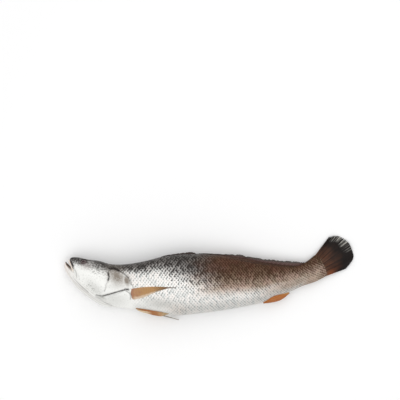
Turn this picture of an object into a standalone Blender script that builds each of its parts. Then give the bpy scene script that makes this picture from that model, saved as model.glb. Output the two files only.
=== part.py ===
"""A whole raw sea bass, one solid: it lies on its right side, left side up.

The head points to -X, the back to +Y and +Z is up. The tables below are in
millimetres in plan, seen from above, and the meshes are made in metres.
The body is a loft of rounded sections between the line of the back and the
line of the belly. The lower jaw, lip, eyes, gill covers and fins are closed
solids that reach into the body, and one union fuses them with it.
"""

import bmesh
import bpy
import numpy as np

NAME = "sea_bass"
MM = 0.001

# The middle of the whole outline in plan, moved to the origin at the end.
CENTRE = (0.38, 5.83)

# Body stations: back x, y; belly x, y; thickness; height of its underside.
# Below zero the underside is pressed flat on what the fish lies on.
BODY = {
    "snout": (-180.7, 32.0, -181.0, 28.6, 6.0, 10.0),
    "lip": (-177.5, 33.4, -177.8, 20.5, 14.0, 6.5),
    "cheek": (-169.0, 33.0, -175.0, 5.5, 22.0, 4.0),
    "eye": (-158.6, 30.6, -167.5, -7.5, 29.0, 2.6),
    "jaw_angle": (-144.3, 27.9, -150.5, -20.8, 35.0, 1.8),
    "gill": (-126.1, 24.4, -127.5, -29.4, 40.0, 1.4),
    "shoulder": (-105.3, 24.8, -101.4, -34.2, 43.0, 1.4),
    "breast": (-81.9, 28.2, -76.7, -38.5, 45.0, 1.3),
    "belly": (-57.2, 35.0, -50.7, -42.4, 46.0, 0.4),
    "spines": (-24.7, 38.2, -19.5, -40.2, 45.0, -2.0),
    "vent": (7.8, 36.8, 11.7, -36.4, 42.0, -2.2),
    "soft_fin": (40.3, 32.8, 44.2, -31.0, 36.0, -1.6),
    "anal": (66.0, 27.8, 70.0, -25.4, 30.0, -0.8),
    "anal_fin": (83.5, 24.8, 84.5, -17.4, 25.0, -0.1),
    "wrist": (99.5, 23.1, 103.0, -12.6, 20.5, 0.6),
    "stalk": (117.0, 22.8, 122.2, -4.2, 16.0, 1.0),
    "bend": (129.3, 29.1, 137.8, 1.8, 12.5, 1.3),
    "fin_root": (137.8, 35.6, 151.5, 9.2, 8.0, 1.6),
    "fin_flesh": (144.0, 36.4, 156.6, 14.2, 3.0, 1.8),
}
BODY_RINGS = 74
BODY_SIDES = 32
BACK_FULLNESS = 0.12  # how much thicker the section is towards the back
ROUNDNESS = 0.85  # 1 is an ellipse, and less is fuller at the shoulders

# Lower jaw stations: upper edge x, y; chin x, y; thickness; underside.
JAW = (
    (-186.6, 27.6, -187.8, 25.4, 5.0, 10.6),
    (-184.0, 25.0, -188.2, 19.4, 10.0, 8.2),
    (-177.8, 19.0, -184.6, 11.1, 15.0, 6.0),
    (-168.5, 11.0, -177.5, 0.0, 21.0, 4.0),
    (-156.5, 2.0, -166.4, -11.1, 27.0, 2.6),
    (-143.0, -8.0, -152.1, -22.1, 31.0, 2.0),
    (-131.0, -14.0, -137.5, -30.4, 31.0, 3.0),
    (-121.0, -19.0, -124.0, -32.2, 24.0, 7.0),
    (-114.0, -22.0, -115.0, -29.0, 10.0, 16.0),
)
JAW_RINGS = 20
JAW_SIDES = 16

# The upper lip runs round the front of the snout: x, y, height off the middle.
LIP = (
    (-174.6, 8.0, 8.6),
    (-177.2, 15.6, 7.6),
    (-180.0, 23.0, 6.0),
    (-182.6, 28.4, 2.6),
)
LIP_RADIUS = 1.5
LIP_MIDDLE = 13.2

EYE_AT = (-162.4, 25.9)
EYE_RADIUS = 4.4
EYE_SUNK = 2.8

# Each cover's fixed front edge and free rear edge, from the back downwards.
GILL_COVERS = {
    "cheek_plate": (
        ((-164.0, 22.6), (-171.0, 12.5), (-169.6, 4.0), (-160.0, -5.5)),
        ((-131.0, 23.0), (-131.6, 6.0), (-135.0, -8.0), (-147.0, -16.0)),
        0.9,
    ),
    "gill_flap": (
        ((-132.0, 22.0), (-132.5, 6.0), (-136.0, -6.0), (-146.0, -13.0)),
        (
            (-120.0, 22.4),
            (-107.9, 12.3),
            (-99.0, 1.0),
            (-97.6, -5.0),
            (-108.0, -8.6),
            (-124.0, -14.4),
            (-143.0, -17.6),
        ),
        1.5,
    ),
    "breast_plate": (
        ((-112.0, -10.5), (-127.0, -16.4), (-138.0, -20.0), (-128.0, -28.0)),
        ((-102.0, -7.8), (-99.4, -14.0), (-99.8, -21.0), (-98.5, -33.4)),
        0.7,
    ),
}
COVER_ROWS = 8
COVER_COLUMNS = 12
COVER_ROOT = 0.5  # depth of a cover's front edge under the skin
COVER_DEPTH = 2.2  # how far each cover's solid reaches down into the body

# Fins that lie against the flank: leading edge, trailing edge.
PECTORAL = (
    ((-103.0, -6.6), (-76.7, -4.0), (-61.1, -3.4), (-40.3, -4.6)),
    ((-103.4, -21.4), (-89.7, -18.7), (-76.7, -14.3), (-41.4, -6.0)),
)
PELVIC = (
    ((-98.0, -29.8), (-76.7, -34.0), (-63.7, -36.4), (-53.0, -39.6)),
    ((-95.5, -34.8), (-76.7, -39.4), (-60.5, -42.6), (-53.6, -41.2)),
)

# Fins that stand out from the edge of the body: root edge, free edge.
ANAL = (
    ((70.0, -22.4), (82.5, -15.0), (91.8, -12.4), (102.0, -10.6)),
    ((71.0, -27.0), (87.1, -24.8), (95.6, -21.4), (105.4, -13.4)),
)
SPINY_DORSAL = (
    ((-62.0, 31.8), (-42.9, 34.4), (-27.0, 35.6), (-17.5, 36.0)),
    ((-62.0, 34.8), (-42.9, 38.6), (-27.0, 40.2), (-17.5, 39.6)),
)
SOFT_DORSAL = (
    ((-13.0, 35.4), (36.4, 30.6), (52.0, 27.6), (79.3, 22.6), (109.2, 19.8), (122.0, 22.0)),
    ((-13.0, 38.8), (36.4, 37.2), (52.0, 34.2), (79.3, 30.6), (109.2, 28.0), (124.6, 27.2)),
)
EDGE_FIN_LEAN = 1.6  # the free edge is folded towards the upper side
EDGE_FIN_ROOT = 3.0
EDGE_FIN_RIM = 1.0
FIN_ROWS = 12
FIN_COLUMNS = 4
FIN_LIFT = 0.9
FIN_DEPTH = 1.6
LOW_FIN_LIFT = 0.25  # the right pectoral fin is pressed between flank and table

# The right pelvic fin stands on edge and points back past the belly.
LOW_PELVIC = ((-92.0, -33.0), (-76.0, -38.2), (-60.0, -42.8), (-39.4, -48.6))
LOW_PELVIC_HEIGHT = (17.0, 13.5, 9.5, 4.0)
LOW_PELVIC_WIDTH = (6.0, 8.0, 6.5, 1.2)
LOW_PELVIC_THICKNESS = (2.6, 1.8, 1.4, 0.8)

# Tail fin: the root across the stalk, and the free margin from top to bottom.
TAIL_ROOT = ((137.0, 33.6), (150.2, 10.6))
TAIL_MARGIN = (
    (157.0, 59.6),
    (167.0, 60.4),
    (179.6, 54.4),
    (187.4, 42.0),
    (188.4, 31.0),
    (178.6, 18.6),
)
TAIL_ROWS = 12
TAIL_COLUMNS = 16
TAIL_ROOT_MID = 5.6
TAIL_TIP_MID = 2.2
TAIL_ROOT_THICKNESS = 3.6
TAIL_TIP_THICKNESS = 1.1
TAIL_WAVES = 2.5
TAIL_WAVE_HEIGHT = 0.9

SKIN_COLOUR = (0.62, 0.60, 0.56, 1.0)


def smooth_curve(points, at):
    """Catmull-Rom through the rows of points, read at positions from 0 to 1."""
    points = np.asarray(points, float)
    padded = np.vstack([2 * points[0] - points[1], points, 2 * points[-1] - points[-2]])
    along = np.clip(np.asarray(at, float), 0, 1) * (len(points) - 1)
    first = np.minimum(along.astype(int), len(points) - 2)
    f = (along - first)[..., None]
    p0, p1, p2, p3 = (padded[first + k] for k in range(4))
    return p1 + 0.5 * f * (
        p2 - p0 + f * (2 * p0 - 5 * p1 + 4 * p2 - p3 + f * (3 * (p1 - p2) + p3 - p0))
    )


def section_height(station, across, side):
    """Skin height over a point from belly, -1, to back, +1, on the upper or under side."""
    thickness, underside = station[..., 4], station[..., 5]
    middle = underside + thickness / 2
    rise = np.sqrt(np.clip(1 - across**2, 0, 1)) ** ROUNDNESS
    height = middle + side * thickness / 2 * rise * (1 + BACK_FULLNESS * across)
    return np.maximum(height, 0)


def section_rings(table, rings, sides):
    """Rings of points round the sections of a loft, from the first station to the last."""
    station = smooth_curve(table, np.linspace(0, 1, rings))[:, None, :]
    turn = np.linspace(0, 2 * np.pi, sides, endpoint=False)
    across = np.cos(turn)
    share = (across[None, :, None] + 1) / 2
    plan = station[..., 2:4] + (station[..., 0:2] - station[..., 2:4]) * share
    side = np.where(np.sin(turn) < 0, -1.0, 1.0)
    height = section_height(station, across[None, :], side[None, :])
    return np.concatenate([plan, height[..., None]], axis=2)


def nearest_station(plan):
    """The body's station at each point in plan, and the point's place from belly to back."""
    dense = smooth_curve(list(BODY.values()), np.linspace(0, 1, 500))
    back, belly = dense[:, 0:2], dense[:, 2:4]
    chord = back - belly
    flat = plan.reshape(-1, 2)
    away = flat[:, None, :] - belly[None]
    beside = chord[None, :, 0] * away[..., 1] - chord[None, :, 1] * away[..., 0]
    nearest = np.abs(beside / np.linalg.norm(chord, axis=1)).argmin(axis=1)
    station, chord = dense[nearest], chord[nearest]
    along = ((flat - belly[nearest]) * chord).sum(1) / (chord**2).sum(1)
    across = np.clip(2 * along - 1, -1, 1)
    shape = plan.shape[:-1]
    return station.reshape(*shape, -1), across.reshape(shape)


def skin_height(plan, side, sunk=0.0):
    """Height of the body's skin over points in plan. Outside the outline it is the middle's."""
    return section_height(*nearest_station(plan), side) - side * sunk


def new_object(name, vertices, faces):
    mesh = bpy.data.meshes.new(name)
    mesh.from_pydata((np.asarray(vertices) * MM).tolist(), [], faces)
    obj = bpy.data.objects.new(name, mesh)
    bpy.context.scene.collection.objects.link(obj)
    return obj


def grid_quads(rows, columns, start=0):
    """Quads over a grid of rows by columns of points, as an array of four corners each."""
    corner = (np.arange(rows - 1)[:, None] * columns + np.arange(columns - 1)).ravel() + start
    return np.stack([corner, corner + 1, corner + columns + 1, corner + columns], axis=1)


def face_outwards(obj):
    """Turns every face outwards and splits the faces into triangles."""
    mesh = bmesh.new()
    mesh.from_mesh(obj.data)
    bmesh.ops.recalc_face_normals(mesh, faces=mesh.faces)
    bmesh.ops.triangulate(mesh, faces=mesh.faces)
    mesh.to_mesh(obj.data)
    mesh.free()
    return obj


def loft(name, rings):
    """A closed solid over rings of points, with a flat cap on each end."""
    count, sides = rings.shape[:2]
    closed = np.concatenate([rings, rings[:, :1]], axis=1)
    index = np.arange(count * sides).reshape(count, sides)
    index = np.concatenate([index, index[:, :1]], axis=1)
    quads = index.ravel()[grid_quads(count, closed.shape[1])]
    caps = [index[0, :-1][::-1].tolist(), index[-1, :-1].tolist()]
    return face_outwards(new_object(name, rings.reshape(-1, 3), quads.tolist() + caps))


def slab(name, top, bottom):
    """A thin closed solid between two grids of points, joined round their rims."""
    rows, columns = top.shape[:2]
    size = rows * columns
    index = np.arange(size).reshape(rows, columns)
    rim = np.concatenate([index[0, :-1], index[:-1, -1], index[-1, :0:-1], index[:0:-1, 0]])
    beside = np.roll(rim, -1)
    walls = np.stack([rim, beside, beside + size, rim + size], axis=1)
    quads = np.concatenate(
        [grid_quads(rows, columns), grid_quads(rows, columns, size)[:, ::-1], walls]
    )
    points = np.concatenate([top.reshape(-1, 3), bottom.reshape(-1, 3)])
    return face_outwards(new_object(name, points, quads.tolist()))


def between(first_edge, second_edge, rows, columns):
    """A grid in plan that runs along both edges, from the first to the second across."""
    along = np.linspace(0, 1, rows)
    first, second = smooth_curve(first_edge, along), smooth_curve(second_edge, along)
    share = np.linspace(0, 1, columns)[None, :, None]
    return first[:, None] + (second - first)[:, None] * share


def over(plan, height):
    return np.concatenate([plan, height[..., None]], axis=2)


def body():
    return loft(NAME, section_rings(list(BODY.values()), BODY_RINGS, BODY_SIDES))


def lower_jaw():
    return loft("lower_jaw", section_rings(JAW, JAW_RINGS, JAW_SIDES))


def upper_lip():
    """A tube round the front of the upper jaw, from the left corner to the right."""
    curve = bpy.data.curves.new("upper_lip", "CURVE")
    curve.dimensions = "3D"
    curve.bevel_depth = LIP_RADIUS * MM
    curve.bevel_resolution = 2
    curve.use_fill_caps = True
    left = [(x, y, LIP_MIDDLE + z) for x, y, z in LIP]
    right = [(x, y, LIP_MIDDLE - z) for x, y, z in reversed(LIP)]
    route = smooth_curve(left + right, np.linspace(0, 1, 17)) * MM
    spline = curve.splines.new("POLY")
    spline.points.add(len(route) - 1)
    spline.points.foreach_set("co", np.c_[route, np.ones(len(route))].ravel())
    tube = bpy.data.objects.new("upper_lip_curve", curve)
    bpy.context.scene.collection.objects.link(tube)
    bpy.context.view_layer.update()
    graph = bpy.context.evaluated_depsgraph_get()
    mesh = bpy.data.meshes.new_from_object(tube.evaluated_get(graph))
    bpy.data.objects.remove(tube)
    lip = bpy.data.objects.new("upper_lip", mesh)
    bpy.context.scene.collection.objects.link(lip)
    welded = bmesh.new()
    welded.from_mesh(mesh)
    bmesh.ops.remove_doubles(welded, verts=welded.verts, dist=1e-6)
    welded.to_mesh(mesh)
    welded.free()
    return face_outwards(lip)


def eye(name, side):
    mesh = bmesh.new()
    bmesh.ops.create_uvsphere(mesh, u_segments=14, v_segments=8, radius=EYE_RADIUS * MM)
    data = bpy.data.meshes.new(name)
    mesh.to_mesh(data)
    mesh.free()
    obj = bpy.data.objects.new(name, data)
    height = skin_height(np.array(EYE_AT), side, EYE_SUNK)
    obj.location = (EYE_AT[0] * MM, EYE_AT[1] * MM, float(height) * MM)
    bpy.context.scene.collection.objects.link(obj)
    return obj


def gill_cover(name, side):
    """A plate on the skin that lifts towards its free rear edge."""
    front, rear, lift = GILL_COVERS[name]
    plan = between(front, rear, COVER_COLUMNS, COVER_ROWS).transpose(1, 0, 2)
    rise = (np.linspace(0, 1, COVER_ROWS) ** 0.6)[:, None]
    raised = -COVER_ROOT + (lift + COVER_ROOT) * rise
    outer = skin_height(plan, side) + side * raised
    inner = skin_height(plan, side, COVER_DEPTH)
    label = f"{name}_{'left' if side > 0 else 'right'}"
    return slab(label, over(plan, np.maximum(outer, 0)), over(plan, inner))


def lying_fin(name, edges, side):
    """A folded fin against the skin, thin at its tip."""
    plan = between(*edges, FIN_ROWS, FIN_COLUMNS)
    ripple = 0.15 * np.sin(np.linspace(0, 3 * np.pi, FIN_ROWS))[:, None]
    outer = skin_height(plan, side) + side * (FIN_LIFT + ripple)
    inner = skin_height(plan, side, FIN_DEPTH)
    return slab(name, over(plan, np.maximum(outer, LOW_FIN_LIFT)), over(plan, inner))


def edge_fin(name, edges, rows=FIN_ROWS):
    """A low fin in the fish's middle plane, thick at its root and leaning to the upper side."""
    plan = between(*edges, rows, FIN_COLUMNS)
    station, _ = nearest_station(plan)
    out = np.linspace(0, 1, FIN_COLUMNS)[None, :]
    ripple = 0.4 * np.sin(np.linspace(0, 7 * np.pi, rows))[:, None] * out
    middle = station[..., 5] + station[..., 4] / 2 + EDGE_FIN_LEAN * out + ripple
    half = (EDGE_FIN_ROOT + (EDGE_FIN_RIM - EDGE_FIN_ROOT) * out) / 2
    return slab(name, over(plan, middle + half), over(plan, middle - half))


def low_pelvic_fin():
    """The right pelvic fin, a blade on edge that droops towards its tip."""
    along = np.linspace(0, 1, FIN_ROWS)
    shape = np.c_[LOW_PELVIC, LOW_PELVIC_HEIGHT, LOW_PELVIC_WIDTH, LOW_PELVIC_THICKNESS]
    line = smooth_curve(shape, along)
    heading = np.gradient(line[:, :2], axis=0)
    beside = np.c_[-heading[:, 1], heading[:, 0]] / np.linalg.norm(heading, axis=1)[:, None]
    share = np.linspace(-0.5, 0.5, FIN_COLUMNS)[None, :]
    height = line[:, 2:3] + share * line[:, 3:4]
    faces = []
    for way in (0.5, -0.5):
        plan = line[:, None, :2] + (beside * line[:, 4:5] * way)[:, None]
        faces.append(over(np.repeat(plan, FIN_COLUMNS, axis=1), height))
    return slab("pelvic_fin_right", *faces)


def tail_fin():
    """A half-spread fan of rays from the end of the stalk, with a wavy margin."""
    across = np.linspace(0, 1, TAIL_COLUMNS)
    out = np.linspace(0, 1, TAIL_ROWS)[:, None]
    root = smooth_curve(TAIL_ROOT, across)[None]
    margin = smooth_curve(TAIL_MARGIN, across)[None]
    plan = root + (margin - root) * out[..., None]
    middle = TAIL_ROOT_MID + (TAIL_TIP_MID - TAIL_ROOT_MID) * out
    middle = middle + TAIL_WAVE_HEIGHT * out * np.sin(TAIL_WAVES * 2 * np.pi * across)
    half = (TAIL_ROOT_THICKNESS + (TAIL_TIP_THICKNESS - TAIL_ROOT_THICKNESS) * out) / 2
    return slab("tail_fin", over(plan, middle + half), over(plan, middle - half))


def fused_pieces():
    """Everything that the union joins to the body."""
    made = [lower_jaw(), upper_lip(), tail_fin(), low_pelvic_fin()]
    for side, word in ((1, "left"), (-1, "right")):
        made.append(eye(f"eye_{word}", side))
        made.extend(gill_cover(name, side) for name in GILL_COVERS)
        made.append(lying_fin(f"pectoral_fin_{word}", PECTORAL, side))
    made.append(lying_fin("pelvic_fin_left", PELVIC, 1))
    made.append(edge_fin("anal_fin", ANAL))
    made.append(edge_fin("spiny_dorsal_fin", SPINY_DORSAL))
    made.append(edge_fin("soft_dorsal_fin", SOFT_DORSAL, rows=28))
    return made


def skin_material():
    material = bpy.data.materials.new("fish_skin")
    material.use_nodes = True
    shader = material.node_tree.nodes["Principled BSDF"]
    shader.inputs["Base Color"].default_value = SKIN_COLOUR
    shader.inputs["Roughness"].default_value = 0.38
    shader.inputs["Metallic"].default_value = 0.15
    return material


def fuse(base, pieces):
    """One union of the base with a collection, applied, with the collection's objects removed."""
    joined = bpy.data.collections.new("fused_pieces")
    bpy.context.scene.collection.children.link(joined)
    for piece in pieces:
        bpy.context.scene.collection.objects.unlink(piece)
        joined.objects.link(piece)
    union = base.modifiers.new("union", "BOOLEAN")
    union.operation = "UNION"
    union.operand_type = "COLLECTION"
    union.collection = joined
    union.solver = "MANIFOLD"
    graph = bpy.context.evaluated_depsgraph_get()
    mesh = bpy.data.meshes.new_from_object(base.evaluated_get(graph))
    base.modifiers.clear()
    base.data = mesh
    for piece in pieces:
        bpy.data.objects.remove(piece)
    bpy.data.collections.remove(joined)
    return base


def main():
    for old in list(bpy.data.objects):
        bpy.data.objects.remove(old)
    fish = fuse(body(), fused_pieces())
    points = np.empty(len(fish.data.vertices) * 3, np.float32)
    fish.data.vertices.foreach_get("co", points)
    points = points.reshape(-1, 3) - np.array([CENTRE[0], CENTRE[1], 0.0]) * MM
    fish.data.vertices.foreach_set("co", points.astype(np.float32).ravel())
    fish.data.materials.clear()
    fish.data.materials.append(skin_material())
    fish.data.shade_smooth()
    collection = bpy.data.collections.new("sea_bass_parts")
    bpy.context.scene.collection.children.link(collection)
    bpy.context.scene.collection.objects.unlink(fish)
    collection.objects.link(fish)


main()
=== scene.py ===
"""The looks of a whole raw sea bass lying on its right side, left side up.

Every surface is a grid of points worked out with numpy. Lengths in the tables
are millimetres in plan, seen from above: the head points to -X and the back
to +Y. The skin is a loft of rounded sections with overlapping scales, and the
jaw, lip, eyes, gill covers and fins are pieces of their own that lie on it.
"""

import math

import bmesh
import bpy
import numpy as np
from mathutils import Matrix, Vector


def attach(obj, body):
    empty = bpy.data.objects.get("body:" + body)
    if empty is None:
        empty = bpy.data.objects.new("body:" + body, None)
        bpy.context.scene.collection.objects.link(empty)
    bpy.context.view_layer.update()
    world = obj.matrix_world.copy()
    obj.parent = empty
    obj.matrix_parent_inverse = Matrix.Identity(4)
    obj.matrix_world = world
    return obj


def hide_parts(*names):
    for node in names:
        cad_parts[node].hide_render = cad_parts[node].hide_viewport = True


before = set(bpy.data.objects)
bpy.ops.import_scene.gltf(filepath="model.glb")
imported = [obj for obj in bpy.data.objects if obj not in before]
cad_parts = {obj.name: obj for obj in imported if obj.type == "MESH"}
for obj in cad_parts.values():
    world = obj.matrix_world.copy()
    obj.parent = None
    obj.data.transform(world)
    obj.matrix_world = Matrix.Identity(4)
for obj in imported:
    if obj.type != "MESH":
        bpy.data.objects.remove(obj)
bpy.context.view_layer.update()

NODE = "sea_bass"
MM = 0.001
CENTRE = (0.38, 5.83)  # the middle of the outline in plan, which is the frame's origin

# Body stations: back x, y; belly x, y; thickness; height of its underside.
BODY = {
    "snout": (-180.7, 32.0, -181.0, 28.6, 6.0, 10.0),
    "lip": (-177.5, 33.4, -177.8, 20.5, 14.0, 6.5),
    "cheek": (-169.0, 33.0, -175.0, 5.5, 22.0, 4.0),
    "eye": (-158.6, 30.6, -167.5, -7.5, 29.0, 2.6),
    "jaw_angle": (-144.0, 28.9, -150.5, -20.8, 35.0, 1.8),
    "gill": (-126.1, 24.4, -127.5, -29.4, 40.0, 1.4),
    "shoulder": (-105.3, 24.8, -101.4, -34.2, 43.0, 1.4),
    "breast": (-81.9, 28.9, -76.7, -38.5, 45.0, 1.3),
    "belly": (-57.2, 35.0, -50.7, -42.4, 46.0, 0.4),
    "spines": (-24.7, 38.2, -19.5, -40.2, 45.0, -2.0),
    "vent": (7.8, 36.8, 11.7, -36.4, 42.0, -2.2),
    "soft_fin": (40.3, 32.8, 44.2, -31.0, 36.0, -1.6),
    "anal": (66.0, 27.8, 70.0, -25.4, 30.0, -0.8),
    "anal_fin": (83.5, 24.8, 84.5, -17.4, 25.0, -0.1),
    "wrist": (99.5, 23.1, 103.0, -12.6, 20.5, 0.6),
    "stalk": (117.0, 22.8, 122.2, -4.2, 16.0, 1.0),
    "bend": (129.3, 29.1, 138.2, 1.0, 12.5, 1.3),
    "fin_root": (137.8, 35.6, 152.0, 8.1, 8.0, 1.6),
    "fin_flesh": (144.0, 36.4, 157.0, 13.2, 3.0, 1.8),
}
BACK_FULLNESS = 0.12  # share by which a section is fuller towards its back
ROUNDNESS = 0.85
HEAD_END = 92.0  # length along the middle, from the snout, where HEAD_STEP gives way to TRUNK_STEP
HEAD_STEP = 0.85  # distance between rings
TRUNK_STEP = 0.83
SECTION_HALVES = (39.0, 22.0)  # half a section's depth and thickness, for its columns
TOP_COLUMNS = 146
UNDER_COLUMNS = 92
LATTICE = 256  # random values along each side of the noise's table, which then repeats

# Scales: length of one column, height of one row, and how far each rises.
SCALE_COLUMN = 2.15
SCALE_ROW = 2.6
SCALE_RISE = 0.42
SCALE_SHRINK = (110, 330)  # lengths along the middle between which scales get smaller
SCALE_TAIL_SIZE = 0.80  # size of a scale on the stalk against one on the shoulder
LATERAL_LINE = 0.12  # its place from belly, -1, to back, +1
REACH_SQUARED = 1.669  # a scale's radius squared, in columns
BOW_SQUARED = 1.46  # a row's height squared, in columns
SCALE_TURN = 1.75  # distance from a scale's rim to its covered root, in columns

# The lower jaw's stations, from chin to throat, in the same way.
JAW = (
    (-186.6, 27.6, -187.8, 25.4, 5.0, 10.6),
    (-184.0, 25.0, -188.2, 19.4, 10.0, 8.2),
    (-177.8, 19.0, -184.6, 11.1, 15.0, 6.0),
    (-168.5, 11.0, -177.5, 0.0, 21.0, 4.0),
    (-156.5, 2.0, -166.4, -11.1, 27.0, 2.6),
    (-143.0, -8.0, -152.1, -22.1, 31.0, 2.0),
    (-131.0, -14.0, -137.5, -30.4, 30.0, 3.6),
    (-120.0, -19.0, -124.0, -32.0, 23.0, 8.0),
    (-109.0, -23.0, -111.0, -32.6, 14.5, 13.6),
    (-99.0, -26.5, -99.0, -32.0, 5.0, 19.5),
)
JAW_FOLDS = 3.5  # folds of the throat's skin from chin to mouth
# The upper lip from one corner of the mouth to the snout: x, y, distance from its middle plane.
LIP = ((-174.9, 6.4, 9.2), (-176.7, 14.6, 7.7), (-179.5, 22.4, 5.9), (-182.3, 28.6, 2.4))
LIP_RADIUS = 1.0
LIP_MIDDLE = 13.2
# Nostrils: centre, radii, depth.
NOSTRILS = (((-172.0, 27.5), (0.9, 0.7), 0.5), ((-169.2, 27.2), (0.8, 0.6), 0.4))

EYE_AT = (-162.4, 25.9)
EYE_RADIUS = 4.4
EYE_SUNK = 2.8
PUPIL_RADIUS = 1.7
RIM_RADII = (3.3, 4.0)  # where the eye darkens towards its rim
EYELID_RADIUS = 4.3
EYELID_WIDTH = 0.7  # half its width
EYELID_HEIGHT = 0.55

# Plates: the fixed front edge, the free rear edge, and how far that stands off the skin.
GILL_COVERS = {
    "maxilla": (
        ((-177.4, 19.5), (-176.4, 13.0), (-174.6, 6.5), (-173.2, 3.2)),
        ((-176.4, 20.0), (-172.8, 14.0), (-171.4, 8.0), (-172.2, 3.4)),
        0.8,
    ),
    "cheek_plate": (
        ((-164.0, 22.6), (-171.0, 12.5), (-169.6, 4.0), (-160.0, -5.5)),
        ((-130.6, 23.0), (-129.8, 7.5), (-133.8, -7.0), (-147.0, -16.0)),
        0.9,
    ),
    "gill_flap": (
        ((-132.0, 22.0), (-132.5, 6.0), (-136.0, -6.0), (-146.0, -13.0)),
        (
            (-121.5, 19.8),
            (-114.2, 15.6),
            (-105.6, 9.6),
            (-102.6, 2.6),
            (-98.0, -3.8),
            (-104.6, -7.6),
            (-119.1, -10.9),
            (-131.5, -15.2),
            (-146.0, -15.6),
        ),
        1.5,
    ),
    "breast_plate": (
        ((-112.0, -10.5), (-127.0, -16.4), (-138.0, -20.0), (-128.0, -28.0)),
        ((-106.5, -6.5), (-102.2, -11.5), (-100.0, -19.5), (-104.0, -33.4)),
        1.25,
    ),
}
COVER_ROOT = 0.5  # depth of a plate's fixed edge under the skin
COVER_THICKNESS = 0.8
COVER_LOW = 0.05  # lowest height of a plate's outer face
BREAST_DIP = 1.9  # how far the lower end of the breast plate goes into the skin
COVER_ROWS = 56
COVER_COLUMNS = 90

# Fins: of those that lie on the flank, the two long edges from root to tip; of the low fins in
# the middle plane, the base and the free edge.
PECTORAL = (
    ((-104.6, -7.4), (-88.0, -4.8), (-73.0, -3.9), (-62.0, -3.9), (-53.2, -4.6), (-42.6, -4.9)),
    ((-103.0, -21.6), (-85.5, -17.8), (-73.6, -12.9), (-64.1, -9.4), (-53.7, -6.2), (-42.8, -5.4)),
)
PELVIC = (
    ((-97.0, -31.4), (-85.0, -32.9), (-73.5, -34.6), (-63.0, -36.4), (-52.0, -39.0)),
    ((-96.8, -32.6), (-84.2, -37.6), (-72.2, -40.6), (-61.5, -41.0), (-52.2, -39.6)),
)
ANAL = (
    ((70.0, -22.4), (82.5, -15.0), (91.8, -12.4), (102.0, -10.6)),
    ((71.0, -27.0), (87.1, -24.8), (95.6, -21.4), (105.4, -13.4)),
)
SPINY_DORSAL = (
    ((-62.0, 31.8), (-42.9, 34.4), (-27.0, 35.6), (-17.5, 36.0)),
    ((-62.0, 34.8), (-42.9, 38.6), (-27.0, 40.2), (-17.5, 39.6)),
)
SOFT_DORSAL = (
    ((-13.0, 35.4), (36.4, 30.6), (52.0, 27.6), (79.3, 22.6), (109.2, 19.8), (122.0, 22.0)),
    ((-13.0, 38.8), (36.4, 37.2), (52.0, 34.2), (79.3, 30.6), (109.2, 28.0), (124.6, 27.2)),
)
# Low fins: edges, grid, number of rays, slant of the rays, how ragged, colours.
EDGE_FINS = {
    "anal_fin": (ANAL, (120, 40), 8, 0.5, 0.05, "orange_fin"),
    "spiny_dorsal_fin": (SPINY_DORSAL, (140, 24), 9, 0.5, 0.35, "back_fin"),
    "soft_dorsal_fin": (SOFT_DORSAL, (420, 36), 28, 0.06, 0.22, "back_fin"),
}
EDGE_FIN_LEAN = 1.6  # height of the free edge over the base
PECTORAL_RAYS = 13
PELVIC_RAYS = 7
PELVIC_LIFT = 1.5  # how far the middle of the left pelvic fin lifts off the belly
FIN_WRAP = 3.05  # how far round a section, from the back edge, a lying fin may reach
FIN_WRAP_ENDS = 0.10
# Where the dark of the back gives way to the pale flank: its middle and half its width, from
# belly, -1, to back, +1, along x; and on the head, the heights in plan between which it fades.
DARK_X = (-90, -69, -56, -43, -30, -17, 0, 20, 40, 60, 87, 113, 126, 137)
DARK_MIDDLE = (
    0.64, 0.59, 0.43, 0.31, 0.16, 0.05, -0.02, -0.09, -0.11, -0.09, -0.04, 0.12, 0.10, -0.1
)
DARK_WIDTH = (0.24, 0.26, 0.34, 0.40, 0.42, 0.42, 0.43, 0.48, 0.54, 0.58, 0.60, 0.64, 0.70, 0.75)
CROWN_X = (-181, -173, -163, -157, -147, -142, -134, -118, -100)
CROWN_LOW = (20.0, 17.5, 14.0, 9.0, 2.0, 1.5, 4.0, 8.5, 8.0)
CROWN_HIGH = (32.5, 32.5, 33.0, 35.0, 36.0, 33.5, 28.0, 22.0, 24.5)
# Where scales begin behind the head: x for heights in plan.
SCALED_Y = (-36, -30, -14, -4, 2.6, 9, 14, 19, 25)
SCALED_X = (-97, -99, -101, -99, -103, -107, -113, -124, -138)
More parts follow.
